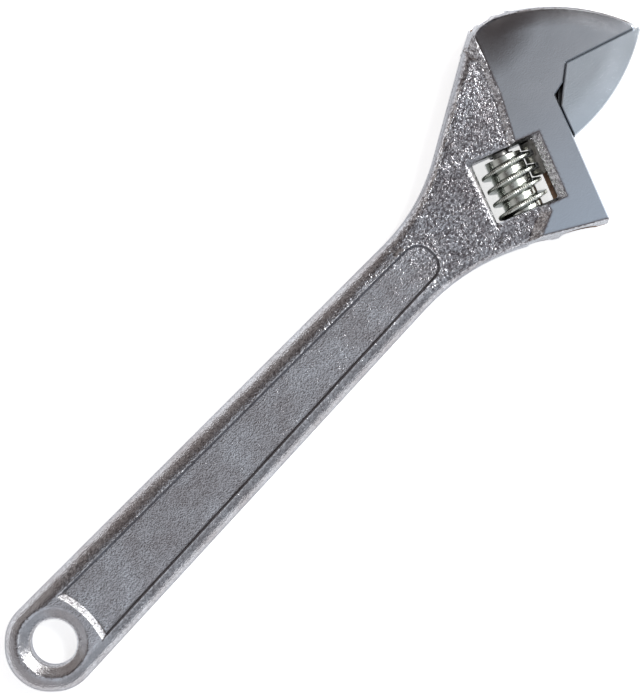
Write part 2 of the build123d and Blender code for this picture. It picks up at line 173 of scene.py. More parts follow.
class Nodes:
    """A material's node tree, with short calls for adding and linking nodes."""

    def __init__(self, name):
        self.material = bpy.data.materials.new(name)
        self.material.use_nodes = True
        self.tree = self.material.node_tree
        self.shader = self.tree.nodes["Principled BSDF"]

    def add(self, kind, **settings):
        node = self.tree.nodes.new(kind)
        for key, value in settings.items():
            setattr(node, key, value)
        return node

    def link(self, source, target):
        self.tree.links.new(source, target)

    def place(self, scale=(1.0, 1.0, 1.0), angle=0.0):
        """Object coordinates in metres, turned about the height and scaled."""
        coordinates = self.add("ShaderNodeTexCoord")
        mapping = self.add("ShaderNodeMapping", vector_type="POINT")
        mapping.inputs["Rotation"].default_value = (0.0, 0.0, angle)
        mapping.inputs["Scale"].default_value = scale
        self.link(coordinates.outputs["Object"], mapping.inputs["Vector"])
        return mapping.outputs["Vector"]

    def noise(self, vector, grain, detail=2.0, roughness=0.5, kind="FBM"):
        """Noise whose lumps are about grain millimetres across."""
        node = self.add("ShaderNodeTexNoise", noise_type=kind)
        node.inputs["Scale"].default_value = 1.0 / (grain * MM)
        node.inputs["Detail"].default_value = detail
        node.inputs["Roughness"].default_value = roughness
        self.link(vector, node.inputs["Vector"])
        return node.outputs["Fac"]

    def cells(self, vector, grain):
        """Distance to the middles of cells that are about grain millimetres across."""
        node = self.add("ShaderNodeTexVoronoi", feature="SMOOTH_F1")
        node.inputs["Scale"].default_value = 1.0 / (grain * MM)
        self.link(vector, node.inputs["Vector"])
        return node.outputs["Distance"]

    def ramp(self, factor, stops):
        """Colours by factor, from stops of a position and a colour each."""
        node = self.add("ShaderNodeValToRGB")
        while len(node.color_ramp.elements) < len(stops):
            node.color_ramp.elements.new(0.5)
        for element, (position, colour) in zip(node.color_ramp.elements, stops):
            element.position = position
            element.color = (*colour, 1.0)
        self.link(factor, node.inputs["Fac"])
        return node.outputs["Color"]

    def span(self, factor, low, high, to_low, to_high):
        """Carries low to high over to to_low to to_high, and holds both ends."""
        node = self.add("ShaderNodeMapRange", clamp=True)
        node.inputs["From Min"].default_value = low
        node.inputs["From Max"].default_value = high
        node.inputs["To Min"].default_value = to_low
        node.inputs["To Max"].default_value = to_high
        self.link(factor, node.inputs["Value"])
        return node.outputs["Result"]

    def bump(self, height, depth, below=None):
        """A bump of the given depth in millimetres, on top of the bump below."""
        node = self.add("ShaderNodeBump")
        node.inputs["Strength"].default_value = 1.0
        node.inputs["Distance"].default_value = depth * MM
        self.link(height, node.inputs["Height"])
        if below is not None:
            self.link(below, node.inputs["Normal"])
        return node.outputs["Normal"]

    def attribute(self, name):
        """A number that the mesh carries at its vertices."""
        return self.add("ShaderNodeAttribute", attribute_name=name).outputs["Fac"]

    def times(self, first, second):
        node = self.add("ShaderNodeMath", operation="MULTIPLY")
        for socket, value in zip(node.inputs, (first, second)):
            if isinstance(value, float):
                socket.default_value = value
            else:
                self.link(value, socket)
        return node.outputs["Value"]

    def mix(self, factor, first, second):
        node = self.add("ShaderNodeMix", data_type="RGBA")
        self.link(factor, node.inputs["Factor"])
        for socket, value in ((node.inputs["A"], first), (node.inputs["B"], second)):
            if isinstance(value, tuple):
                socket.default_value = (*value, 1.0)
            else:
                self.link(value, socket)
        return node.outputs["Result"]

    def metal(self, colour, roughness, normal):
        self.shader.inputs["Metallic"].default_value = 1.0
        self.shader.inputs["Specular Tint"].default_value = GRAZING
        self.link(colour, self.shader.inputs["Base Color"])
        self.link(roughness, self.shader.inputs["Roughness"])
        self.link(normal, self.shader.inputs["Normal"])
        return self.material


def forged_skin():
    """Plating over a scaled forging: crumpled grain, pits, painted shade in inner corners, and
    edges lightened by wear and painted highlights.
    """
    nodes = Nodes("forged_skin")
    place = nodes.place()
    uneven = nodes.span(nodes.noise(place, UNEVEN_GRAIN), 0.35, 0.65, 0.75, 1.3)
    coarse = nodes.times(nodes.attribute("coarse"), uneven)
    crumples = nodes.cells(place, CRUMPLE_GRAIN)
    pits = nodes.span(nodes.noise(place, PIT_GRAIN, 2.0, 0.6), 0.44, 0.6, 0.0, 0.85)
    creases = nodes.noise(place, CREASE_GRAIN, 3.0, 0.55, "RIDGED_MULTIFRACTAL")
    fine = nodes.noise(place, FINE_GRAIN, 1.0)
    colour = nodes.ramp(nodes.noise(place, PATCH_GRAIN, 3.0), PATCH_COLOURS)
    pits = nodes.times(pits, nodes.span(nodes.attribute("coarse"), 0.75, 1.3, 0.1, 1.0))
    pits = nodes.times(pits, nodes.span(nodes.attribute("wear_and_highlight"), 0.3, 1.0, 1.0, 0.75))
    specks = nodes.span(nodes.noise(place, SPECK_GRAIN, 1.0), 0.5, 0.68, 0.0, 0.55)
    specks = nodes.times(specks, nodes.span(nodes.attribute("coarse"), 0.55, 0.8, 0.0, 1.0))
    # Lighter where the skin is worn or carries a painted highlight
    colour = nodes.mix(nodes.attribute("wear_and_highlight"), colour, WEAR_AND_HIGHLIGHT_COLOUR)
    colour = nodes.mix(specks, colour, SPECK_COLOUR)
    colour = nodes.mix(pits, colour, PIT_COLOUR)
    # Painted shade in inner corners and on the window's bevels
    colour = nodes.mix(nodes.attribute("painted_shade"), colour, PAINTED_SHADE_COLOUR)
    roughness = nodes.span(crumples, 0.1, 0.5, 0.14, 0.26)
    creases = nodes.times(creases, nodes.span(coarse, 0.9, 1.6, 0.0, 1.0))
    normal = nodes.bump(nodes.times(fine, coarse), FINE_BUMP)
    normal = nodes.bump(creases, CREASE_BUMP, normal)
    normal = nodes.bump(nodes.times(crumples, coarse), CRUMPLE_BUMP, normal)
    return nodes.metal(colour, roughness, normal)


def ground_steel(name, tint):
    """Plated ground face: fine straight scratches, faint clouds, a painted cooler reflection
    further from the fixed jaw, a brown line at its edge.
    """
    nodes = Nodes(name)
    scratches = nodes.noise(nodes.place(SCRATCH_STRETCH, SCRATCH_ANGLE), SCRATCH_GRAIN)
    grain = nodes.noise(nodes.place(), GROUND_GRAIN)
    clouds = nodes.noise(nodes.place(), GROUND_CLOUDS, 3.0)
    low = [channel * GROUND_SHADE for channel in tint]
    colour = nodes.ramp(clouds, [(0.35, low), (0.65, tint)])
    cool_reflection = tuple(channel * gain for channel, gain in zip(tint, COOL_REFLECTION_GAINS))
    # Painted reflection: cooler further from the fixed jaw
    colour = nodes.mix(nodes.attribute("cool_reflection"), colour, cool_reflection)
    colour = nodes.mix(nodes.attribute("edge"), colour, EDGE_COLOUR)
    roughness = nodes.span(grain, 0.3, 0.7, 0.18, 0.24)
    normal = nodes.bump(scratches, SCRATCH_BUMP)
    normal = nodes.bump(grain, GROUND_BUMP, normal)
    return nodes.metal(colour, roughness, normal)


def bright_plating(name, tint, roughest):
    """Smooth bright plating with faint clouds."""
    nodes = Nodes(name)
    place = nodes.place()
    clouds = nodes.noise(place, PLATING_CLOUDS, 3.0)
    grain = nodes.noise(place, PLATING_GRAIN)
    low = [channel * PLATING_SHADE for channel in tint]
    colour = nodes.ramp(clouds, [(0.3, low), (0.7, tint)])
    roughness = nodes.span(grain, 0.3, 0.7, PLATING_GLOSS * roughest, roughest)
    return nodes.metal(colour, roughness, nodes.bump(grain, PLATING_BUMP))


def bare_steel(name, dark, light):
    """Unplated steel: stains between a dark and a light colour, over a fine grain."""
    nodes = Nodes(name)
    place = nodes.place()
    stains = nodes.noise(place, STAIN_GRAIN, 4.0, 0.6)
    grain = nodes.noise(place, BARE_GRAIN)
    colour = nodes.ramp(stains, [(0.35, dark), (0.65, light)])
    roughness = nodes.span(grain, 0.3, 0.7, 0.35, 0.55)
    return nodes.metal(colour, roughness, nodes.bump(grain, BARE_BUMP))


# Body and jaw: the CAD solids cut into small cells, with the relief of a hammered skin

# Cells and welds
CELL = 0.5
CELL_HEIGHT = 0.9
CELL_OFFSET = 0.37
CELL_CUT = 1e-7
WELD = 0.0005
POINT_SPACING = 0.15
FAR_AWAY = 1000.0

# Shares of a face's normal along a direction, from nearly across it to facing it
ACROSS = 0.1
LEANING = 0.3
HALFWAY = 0.5
MOSTLY = 0.6
FACING = 0.9
SIDE_LEAN = 0.03
UNLEANED = 0.01
LEVEL = 0.99
STEP_LEANS = (0.4, 0.97)
GLINT_LEANS = (0.85, 0.985)
SHARP = math.radians(28.0)
CORNER = math.radians(22.0)

# Allowances round the places above
NEAR = 0.05
SLIDE_MARGIN = 0.4
GROUND_MARGIN = 0.35
STEP_MARGIN = 0.35
PAD_MARGIN = 0.15
PAD_CORNER = 2.0
SEAT_MARGIN = 0.6
BORE_MARGIN = 0.1
BEVEL_MARGIN = 0.1
CHEEK_MARGIN = 0.15
PANEL_MARGIN = 0.1
WINDOW_MARGIN = 2.6

# The window's wide bevels
BEVEL_WIDTH = 1.7
# Inner strip of the low bevels that gets painted shade
BEVEL_SHADE_WIDTH = 1.3
BEVEL_TAPER = 0.36
BEVEL_TURN = 2.0
LOW_BEVEL_COARSE = 0.45
# Share of painted shade on that strip
LOW_BEVEL_PAINTED_SHADE = 0.5

# Coarseness of the skin by place
FLAT_START = 0.45
FLAT_BLEND = 0.4
CHEEK_START = 112.0
CHEEK_BLEND = 14.0
CHEEK_COARSE = 1.3
PANEL_COARSE = 0.8
FLANK_COARSE = 0.8
RING_COARSE = 0.5
RIM_COARSE = 1.0
RING_END = 7.0
RING_BLEND = 5.0
STEP_COARSE = 0.4
RAMP_COARSE = 0.3

# Relief of the skin
RELIEF_CHEEK = 0.022
RELIEF_PLAIN = 0.007
RELIEF_STEP = 0.13
RELIEF_START = 0.8
RELIEF_BLEND = 0.5
RIDGE_GRAIN = 0.85
RIDGE_STEEPNESS = 2.6
RIDGE_SHARE = 0.75
LUMP_GRAIN = 2.4
LUMP_SHARE = 0.45

# Rounded rim of the forging, drawn in from the handle to the head
EDGE_ROUNDING = 4.0
HEAD_ROUNDING = 1.5
ROUNDING_START = 100.0
ROUNDING_BLEND = 38.0
FORGING_DRAFT = math.radians(10.0)
LEVELS_PER_MM = 2.0

# Painted shade, wear, painted highlights, painted reflection and colour
# Painted shade along inner corners: its reach, its fade at the panel's end, and only a fifth of
# it on the +Y side
PAINTED_SHADE_REACH = 0.45
PANEL_FADE = 2.0
BRIGHT_SIDE = 0.8
BRIGHT_FROM = -4.2
# Wear and painted highlight along outer corners
WEAR_AND_HIGHLIGHT_REACH = 0.5
EDGE_REACH = 0.5
# Painted glints along the cheek's outer edge, from and to these places along the part
GLINTS_START = 122.0
GLINTS_BLEND = 8.0
GLINTS_END = 156.0
GLINTS_FADE = 4.0
# Painted sheen on the head's steep flank
FLANK_SHINE = 0.5
FLANK_LEAN = 0.2
FLANK_START = 122.0
FLANK_BLEND = 16.0
# Painted cool reflection on the ground faces, from this rise downwards over this reach
COOL_REFLECTION_START = 16.0
COOL_REFLECTION_BLEND = 34.0

# Ground faces: depth, rise and radius of each back, and how far and over what reach they fall
BACKS = {"forged_body": (7.28, -5.45, 41.5), "sliding_jaw": (4.6, 45.58, 43.0)}
BACK_FALLS = {"forged_body": (0.5, 4.5), "sliding_jaw": (0.32, 6.0)}
FALL_LEVEL = 4.8
FALL_BLEND = 1.2
CREST_START = 5.0
CREST_BLEND = 6.0
TIP_START = 29.0
TIP_BLEND = 9.0
TIP_FLATNESS = 0.75
CROWN_FALL = 1.7
CROWN_REACH = 16.0
CROWN_AT = Vector((0.1675, 0.0305))

# Burr that the rail's drill left round its way out at the crown
BURR_HEIGHT = 0.9
BURR_REACH = 2.0
BURR_GRAIN = 2.4
BURR_CONTRAST = 1.4

# Painted shade: a web of the near-black gap faces that closes the see-through notch in the
# throat
NOTCH_FILL = 1.1
NOTCH_REACH = 2.2
NOTCH_LEVEL = 5.2


def within(value):
    return max(0.0, min(1.0, value))


def smooth(value):
    share = within(value)
    return share * share * (3.0 - 2.0 * share)


def fade(distance, reach):
    share = max(0.0, 1.0 - distance / reach)
    return share * share


def body_kind(centre, normal):
    """Kind of surface of one of the body's faces."""
    depth, rise, height = head_place(centre)
    level = abs(height)
    flatness = abs(normal.z)
    at_slide = depth > SLIDE_DEPTH - SLIDE_MARGIN
    if level > HEAD_LEVEL - NEAR and flatness > FACING:
        return GROUND
    if at_slide and level > HEAD_LEVEL - GROUND_MARGIN and flatness > HALFWAY:
        return GROUND
    # Painted shade: near-black faces in the throat, where the jaw covers the slide face at rest
    if at_slide and (normal.dot(RISE) < -LEANING or normal.dot(DEPTH) > MOSTLY):
        in_throat = depth < THROAT_END and rise > JAW_HEEL and normal.dot(RISE) > -FACING
        return SHADE if in_throat else WALL
    from_rail = math.hypot(depth - RAIL_DEPTH, height)
    if abs(from_rail - RAIL_BORE) < BORE_MARGIN and abs(normal.dot(RISE)) < ACROSS:
        return BARE
    if depth > RAIL_DEPTH and level < SLIT_HALF and flatness > FACING:
        return BARE
    at_seat = WINDOW_HALF - SEAT_MARGIN < abs(rise) < PIN_SEAT_END
    if math.hypot(depth, height) < PIN_BORE and at_seat:
        return BARE
    inside = abs(depth) < WINDOW_HALF and abs(rise) < WINDOW_HALF
    if inside and flatness < LEANING:
        # Painted shade on the window's walls, all but the one whose face points along depth
        return WALL if normal.dot(DEPTH) > HALFWAY else SHADE
    return FORGED


def jaw_kind(centre, normal):
    """Kind of surface of one of the jaw's faces."""
    depth = head_place(centre)[0]
    if depth < SLIDE_DEPTH - SLIDE_MARGIN:
        return BARE
    if abs(normal.z) > MOSTLY:
        return GROUND
    # Painted shade on the jaw's faces that turn back towards the body
    if normal.dot(DEPTH) < -LEANING:
        return SHADE
    return WALL


def pad_edge(rise):
    """Depth of the upper edge of the step beside the head's pad."""
    return PAD_EDGE - PAD_STEP * within((PAD_BEND - rise) / PAD_BEND_LENGTH)


def past_corner(depth, rise):
    """Distance past the slanted edge at the pad's lower end."""
    return (PAD_EDGE - depth + rise - PAD_LOW) / math.sqrt(2.0)


def by_window(depth, rise):
    return max(abs(depth), abs(rise)) < WINDOW_HALF + WINDOW_MARGIN


def on_step(point, normal):
    """1 on the step beside the head's pad and on the window's bevel, else 0."""
    depth, rise, height = head_place(point)
    below = (HEAD_LEVEL - abs(height)) * math.tan(PAD_SLOPE)
    if below < NEAR or not STEP_LEANS[0] < abs(normal.z) < STEP_LEANS[1]:
        return 0.0
    if by_window(depth, rise):
        return 1.0 if abs(height) > BEVEL_LOW - BEVEL_MARGIN else 0.0
    beside = abs(pad_edge(rise) - depth - below) < STEP_MARGIN and rise > PAD_LOW
    under = abs(past_corner(depth, rise) - below) < STEP_MARGIN and rise < PAD_LOW + PAD_CORNER
    return 1.0 if beside or under else 0.0


def in_pad(point):
    """True where the head's full-height pad makes the outer wall, not the rounded strap."""
    depth, rise, height = head_place(point)
    spread = math.tan(PAD_SLOPE) * min(HEAD_LEVEL - abs(height), PAD_DROP) + PAD_MARGIN
    if rise > PAD_LOW:
        return depth > pad_edge(rise) - spread
    return past_corner(depth, rise) < spread


def bevel_limit(depth, rise):
    """Place outside the window's wide bevels, and their level there, or None away from them."""
    left = WINDOW_LEFT - depth
    upper = rise - WINDOW_UPPER
    outside = max(left, upper)
    if not -BEVEL_MARGIN < outside < BEVEL_WIDTH or depth > UPPER_END:
        return None
    if rise < -WINDOW_HALF - BEVEL_TAPER * outside:
        return None
    low = BEVEL_LOW + (BEVEL_UPPER - BEVEL_LOW) * smooth(0.5 + (upper - left) / BEVEL_TURN)
    return outside, low + max(0.0, outside)


def on_low_bevel(point):
    """1 on the window's wide bevels along its handle side and upper end, else 0."""
    depth, rise, height = head_place(point)
    limit = bevel_limit(depth, rise)
    if limit is None or abs(height) > CHEEK_LEVEL - CHEEK_MARGIN:
        return 0.0
    outside, level = limit
    # The bevel's inner strip, which gets painted shade
    shaded = outside < BEVEL_SHADE_WIDTH and abs(height) < level + BEVEL_MARGIN
    return 1.0 if shaded else 0.0


def on_glinting_edge(point, normal):
    """Share of the painted glints along the outer edge of the head's cheek, on its +Y side."""
    rounded = GLINT_LEANS[0] < abs(normal.z) < GLINT_LEANS[1]
    if not rounded or normal.y < HALFWAY * normal.xy.length or in_pad(point):
        return 0.0
    along = point.x / MM
    start = within((along - GLINTS_START) / GLINTS_BLEND)
    return start * within((GLINTS_END - along) / GLINTS_FADE)


def flank_sheen(point, normal):
    """Share of painted sheen on the head's steep flank, a lighter colour for the floor it
    reflects.
    """
    steep = within((HALFWAY - abs(normal.z)) / FLANK_LEAN)
    return FLANK_SHINE * steep * within((point.x / MM - FLANK_START) / FLANK_BLEND)


def on_ramp(point, normal):
    """1 on the ramp at the panel's end beside the hanging hole, else 0."""
    level = abs(point.z) / MM
    here = RAMP_START < point.x / MM < RAMP_END and PANEL_LEVEL < level < HANDLE_LEVEL
    return 1.0 if here and normal.x > LEANING else 0.0


def coarseness(point, normal):
    """How rough the skin is: most on the head's cheeks, less on the handle and the flanks."""
    level = abs(point.z) / MM
    along = point.x / MM
    if on_low_bevel(point):
        return LOW_BEVEL_COARSE
    flat = within((abs(normal.z) - FLAT_START) / FLAT_BLEND)
    cheek = within((along - CHEEK_START) / CHEEK_BLEND)
    if level < PANEL_LEVEL + PANEL_MARGIN:
        handle = PANEL_COARSE
    else:
        from_ring = within((along - RING_END) / RING_BLEND)
        handle = RING_COARSE + (RIM_COARSE - RING_COARSE) * from_ring
    top = CHEEK_COARSE * cheek + (1.0 - cheek) * handle
    plain = flat * top + (1.0 - flat) * FLANK_COARSE
    return plain + STEP_COARSE * on_step(point, normal) + RAMP_COARSE * on_ramp(point, normal)


def relief(point):
    """Hammered skin as a height from about -1 to 1: long ridges over broad lumps."""
    ridges = 1.0 - RIDGE_STEEPNESS * abs(noise.noise(point / (RIDGE_GRAIN * MM)))
    lumps = noise.noise(point / (LUMP_GRAIN * MM))
    return RIDGE_SHARE * ridges + LUMP_SHARE * lumps


def cut_into_cells(mesh, node):
    low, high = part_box(node)
    for axis, step in ((0, CELL), (1, CELL), (2, CELL_HEIGHT)):
        count = int((high[axis] - low[axis]) / (step * MM))
        direction = Vector((0.0, 0.0, 0.0))
        direction[axis] = 1.0
        for index in range(1, count + 1):
            place = Vector(low)
            place[axis] = low[axis] + (index - CELL_OFFSET) * step * MM
            bmesh.ops.bisect_plane(
                mesh,
                geom=mesh.verts[:] + mesh.edges[:] + mesh.faces[:],
                dist=CELL_CUT,
                plane_co=place,
                plane_no=direction,
            )


def distance_to(points):
    """A function that gives a point's distance to the nearest of the points, in millimetres."""
    tree = kdtree.KDTree(len(points))
    for index, point in enumerate(points):
        tree.insert(point, index)
    tree.balance()
    return lambda point: tree.find(point)[2] / MM if points else FAR_AWAY


def edge_points(mesh, chosen):
    """Points a short way apart along the chosen edges."""
    points = []
    for edge in mesh.edges:
        if len(edge.link_faces) != 2 or not chosen(edge):
            continue
        start, finish = edge.verts[0].co, edge.verts[1].co
        count = math.ceil((finish - start).length / (POINT_SPACING * MM)) + 1
        points.extend(start.lerp(finish, index / count) for index in range(count + 1))
    return points


def kinds_at(edge):
    return {face.material_index for face in edge.link_faces}


def inner_corner(edge):
    return kinds_at(edge) == {FORGED} and edge.calc_face_angle_signed(0.0) < -CORNER


def outer_corner(edge):
    return kinds_at(edge) == {FORGED} and edge.calc_face_angle_signed(0.0) > CORNER


def ground_border(edge):
    return kinds_at(edge) == {FORGED, GROUND}


def bore_exit(edge):
    """True for the rim of the rail's bore on the crown."""
    return kinds_at(edge) == {FORGED, BARE} and head_place(edge.verts[0].co)[1] > CROWN_RISE


def rounding_inset(radius, below):
    """How far a rounded rim lies inside its drafted wall, at a depth below the top."""
    if below >= radius * (1.0 - math.sin(FORGING_DRAFT)):
        return 0.0
    middle = radius * (1.0 - math.sin(FORGING_DRAFT)) / math.cos(FORGING_DRAFT)
    arc = math.sqrt(max(0.0, radius * radius - (radius - below) ** 2))
    return middle - arc + below * math.tan(FORGING_DRAFT)


def level_key(vert):
    return round(LEVELS_PER_MM * vert.co.x / MM)


def top_levels(mesh):
    """The forging's level along the handle, from its flat faces, by half millimetres."""
    levels = {}
    for vert in mesh.verts:
        if abs(vert.normal.y) < UNLEANED and abs(vert.normal.z) > LEVEL:
            level = abs(vert.co.z) / MM
            if HANDLE_LEVEL - NEAR < level < CHEEK_LEVEL + NEAR:
                key = level_key(vert)
                levels[key] = max(level, levels.get(key, 0.0))
    return levels


def widen_bevel(mesh):
    """Takes the window's bevel lower along its handle side and wider at its upper end."""
    for vert in mesh.verts:
        depth, rise, height = head_place(vert.co)
        limit = bevel_limit(depth, rise)
        if limit is not None and limit[1] < abs(height) < CHEEK_LEVEL + NEAR:
            vert.co.z = math.copysign(limit[1] * MM, height)
    mesh.normal_update()


def on_outer_rim(vert):
    """True on the forging's outer wall and its rounded rim, away from pad and window."""
    if in_pad(vert.co) or abs(vert.co.z) / MM > CHEEK_LEVEL + NEAR:
        return False
    faces = vert.link_faces
    inward = vert.normal.y * vert.co.y < 0.0
    if inward or any(face.material_index != FORGED for face in faces):
        return False
    depth, rise, _ = head_place(vert.co)
    return not by_window(depth, rise) and any(abs(face.normal.y) > SIDE_LEAN for face in faces)


def sharpen_rounding(mesh):
    """Draws the forging's rounded rim in from the handle to the head."""
    levels = top_levels(mesh)
    moves = []
    for vert in mesh.verts:
        share = within((vert.co.x / MM - ROUNDING_START) / ROUNDING_BLEND)
        if share == 0.0 or not on_outer_rim(vert):
            continue
        below = max(0.0, levels.get(level_key(vert), HANDLE_LEVEL) - abs(vert.co.z) / MM)
        radius = EDGE_ROUNDING + share * (HEAD_ROUNDING - EDGE_ROUNDING)
        inset = rounding_inset(EDGE_ROUNDING, below) - rounding_inset(radius, below)
        moves.append((vert, Vector((*vert.normal.xy.normalized(), 0.0)) * inset * MM))
    for vert, move in moves:
        vert.co += move


def close_notch(mesh):
    """Fills the inner corner of the mouth below the faces with a web of the near-black gap
    faces, a painted shade over the floor seen through the notch.
    """
    for vert in mesh.verts:
        if any(face.material_index != SHADE for face in vert.link_faces):
            continue
        depth, rise, height = head_place(vert.co)
        distance = math.hypot(depth - SLIDE_DEPTH, rise - THROAT_RISE)
        share = within((NOTCH_REACH - distance) / NOTCH_REACH)
        share *= within(NOTCH_LEVEL - abs(height))
        vert.co += DEPTH * NOTCH_FILL * share * MM


def round_off_ground(mesh, node):
    """Lets the ground faces fall away towards their back and the crown, as polishing does."""
    back_depth, back_rise, radius = BACKS[node]
    deepest, reach = BACK_FALLS[node]
    for vert in mesh.verts:
        depth, rise, height = head_place(vert.co)
        inside = max(0.0, radius - math.hypot(depth - back_depth, rise - back_rise))
        share = smooth((depth - CREST_START) / CREST_BLEND)
        share *= within((abs(height) - FALL_LEVEL) / FALL_BLEND)
        share *= 1.0 - TIP_FLATNESS * smooth((depth - TIP_START) / TIP_BLEND)
        fall = deepest * fade(inside, reach) * share
        if any(face.material_index == GROUND for face in vert.link_faces):
            fall += CROWN_FALL * fade((vert.co.xy - CROWN_AT).length / MM, CROWN_REACH)
        vert.co.z -= math.copysign(fall * MM, height)


def fine_copy(node, kind_of):
    """A copy of a CAD node in small cells, with each face's kind as its material slot."""
    mesh = bmesh.new()
    mesh.from_mesh(frame["nodes"][node].data)
    bmesh.ops.remove_doubles(mesh, verts=mesh.verts, dist=WELD * MM)
    cut_into_cells(mesh, node)
    mesh.normal_update()
    for face in mesh.faces:
        face.material_index = kind_of(face.calc_center_median(), face.normal)
        face.smooth = True
    for edge in mesh.edges:
        edge.smooth = edge.calc_face_angle(0.0) < SHARP
    if node == "forged_body":
        widen_bevel(mesh)
    sharpen_rounding(mesh)
    return mesh


def roughen(mesh):
    """Gives the skin its relief and its burr, and returns the numbers that materials read."""
    inner_corner_distance = distance_to(edge_points(mesh, inner_corner))
    outer_corner_distance = distance_to(edge_points(mesh, outer_corner))
    edge_distance = distance_to(edge_points(mesh, ground_border))
    burr_distance = distance_to(edge_points(mesh, bore_exit))
    numbers = {"coarse": [], "painted_shade": [], "wear_and_highlight": [], "edge": [], "cool_reflection": []}
    moves = []
    for vert in mesh.verts:
        point, normal = vert.co, vert.normal
        coarse = coarseness(point, normal)
        bevel = on_low_bevel(point)
        step = on_step(point, normal)
        glints = on_glinting_edge(point, normal)
        # Painted shade along inner corners, along the handle up to the panel's end and weaker on
        # the +Y side
        panel_side = within((PANEL_END - point.x / MM) / PANEL_FADE)
        dark_side = 1.0 - BRIGHT_SIDE * within(point.y / MM - BRIGHT_FROM)
        painted_shade = panel_side * dark_side * fade(inner_corner_distance(point), PAINTED_SHADE_REACH)
        wear_and_highlight = max(glints, flank_sheen(point, normal), fade(outer_corner_distance(point), WEAR_AND_HIGHLIGHT_REACH))
        numbers["coarse"].append(coarse)
        numbers["painted_shade"].append(max(painted_shade, LOW_BEVEL_PAINTED_SHADE * bevel))
        # Painted highlight on the pad's step and the window's bevel, through on_step
        numbers["wear_and_highlight"].append((1.0 - bevel) * max(wear_and_highlight, step))
        numbers["edge"].append(fade(edge_distance(point), EDGE_REACH))
        numbers["cool_reflection"].append(within((COOL_REFLECTION_START - head_place(point)[1]) / COOL_REFLECTION_BLEND))
        if all(face.material_index == FORGED for face in vert.link_faces):
            swell = within((coarse - RELIEF_START) / RELIEF_BLEND)
            depth = RELIEF_PLAIN + (RELIEF_CHEEK - RELIEF_PLAIN) * swell
            depth += RELIEF_STEP * max(glints, (1.0 - bevel) * step)
            swing = depth * relief(point)
            moves.append((vert, normal * swing * MM))
        burr = fade(burr_distance(point), BURR_REACH)
        if burr > 0.0:
            lump = within(0.5 + BURR_CONTRAST * noise.noise(point / (BURR_GRAIN * MM)))
            moves.append((vert, RISE * BURR_HEIGHT * burr * lump * MM))
    for vert, move in moves:
        vert.co += move
    return numbers


def build_skin(node, name, kind_of, materials):
    """A fine copy of a CAD node, with relief, in its materials."""
    mesh = fine_copy(node, kind_of)
    numbers = roughen(mesh)
    round_off_ground(mesh, node)
    if node == "forged_body":
        close_notch(mesh)
    data = mesh_data(name, mesh)
    for key, values in numbers.items():
        data.attributes.new(key, "FLOAT", "POINT").data.foreach_set("value", values)
    for material in materials:
        data.materials.append(material)
    piece = new_object(name, data)
    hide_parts(node)
    return piece


def build_body_and_jaw():
    wall = bright_plating("plated_wall", (0.42, 0.43, 0.43), 0.3)
    bore = bare_steel("bare_bore", (0.17, 0.11, 0.08), (0.34, 0.235, 0.17))
    # Near-black painted shade for the throat, the gaps and the window's walls
    shade = bare_steel("gap_painted_shade", (0.05, 0.047, 0.044), (0.08, 0.076, 0.07))
    skin = forged_skin()
    head = ground_steel("ground_head", (0.47, 0.485, 0.515))
    finishes = (skin, head, wall, bore, shade)
    body = build_skin("forged_body", "forged_body_skin", body_kind, finishes)
    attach(body, "body")
    blade = ground_steel("ground_jaw", (0.55, 0.585, 0.62))
    rail = bare_steel("rail_steel", (0.10, 0.095, 0.085), (0.34, 0.33, 0.31))
    finishes = (skin, blade, wall, rail, shade)
    jaw = build_skin("sliding_jaw", "sliding_jaw_skin", jaw_kind, finishes)
    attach(jaw, "jaw")


# Worm: the thread's profile carried round the axis, with a knurl on its crest

WORM_LENGTH = 13.4
WORM_CREST = 6.3
WORM_CORE = 4.35
WORM_LEAD = 3.2
WORM_PHASE = 5.3
THREAD_END = 5.84
THREAD_FADE = 0.12
CREST_HALF = 0.4
CREST_ROUND = 0.14
ROOT_HALF = 0.8
ROOT_ROUND = 0.15
KNURLS = 80
STEPS_PER_KNURL = 4
KNURL_DEPTH = 0.1
THREAD_WELD = 0.002
END_CUT = 1e-8
PIN_RADIUS = 2.06
POCKET_RADIUS = 2.95
POCKET_DEPTH = 4.2
CUTTER_SIDES = 64
CUTTER_MARGIN = 2.0
WORM_SHARP = math.radians(30.0)


def worm_point(angle, radius, along):
    """A point on the worm: angle from the rail's side, along the axis from its middle."""
    around = DEPTH * math.cos(angle) - UP * math.sin(angle)
    return WORM_AT + (around * radius + RISE * along) * MM


def thread_profile():
    """One lead of the thread, from groove to groove: axial place, radius, knurled or not."""
    rise = WORM_CREST - WORM_CORE
    profile = [
        (-WORM_LEAD / 2, WORM_CORE, 0.0),
        (-ROOT_HALF - ROOT_ROUND, WORM_CORE, 0.0),
        (-ROOT_HALF, WORM_CORE + ROOT_ROUND, 0.0),
        (-(ROOT_HALF + CREST_HALF) / 2, WORM_CORE + rise / 2, 0.0),
        (-CREST_HALF, WORM_CREST - CREST_ROUND, 0.0),
        (-CREST_HALF + CREST_ROUND, WORM_CREST, 1.0),
        (0.0, WORM_CREST, 1.0),
    ]
    mirrored = [(-along, radius, knurled) for along, radius, knurled in reversed(profile[:-1])]
    return profile + mirrored


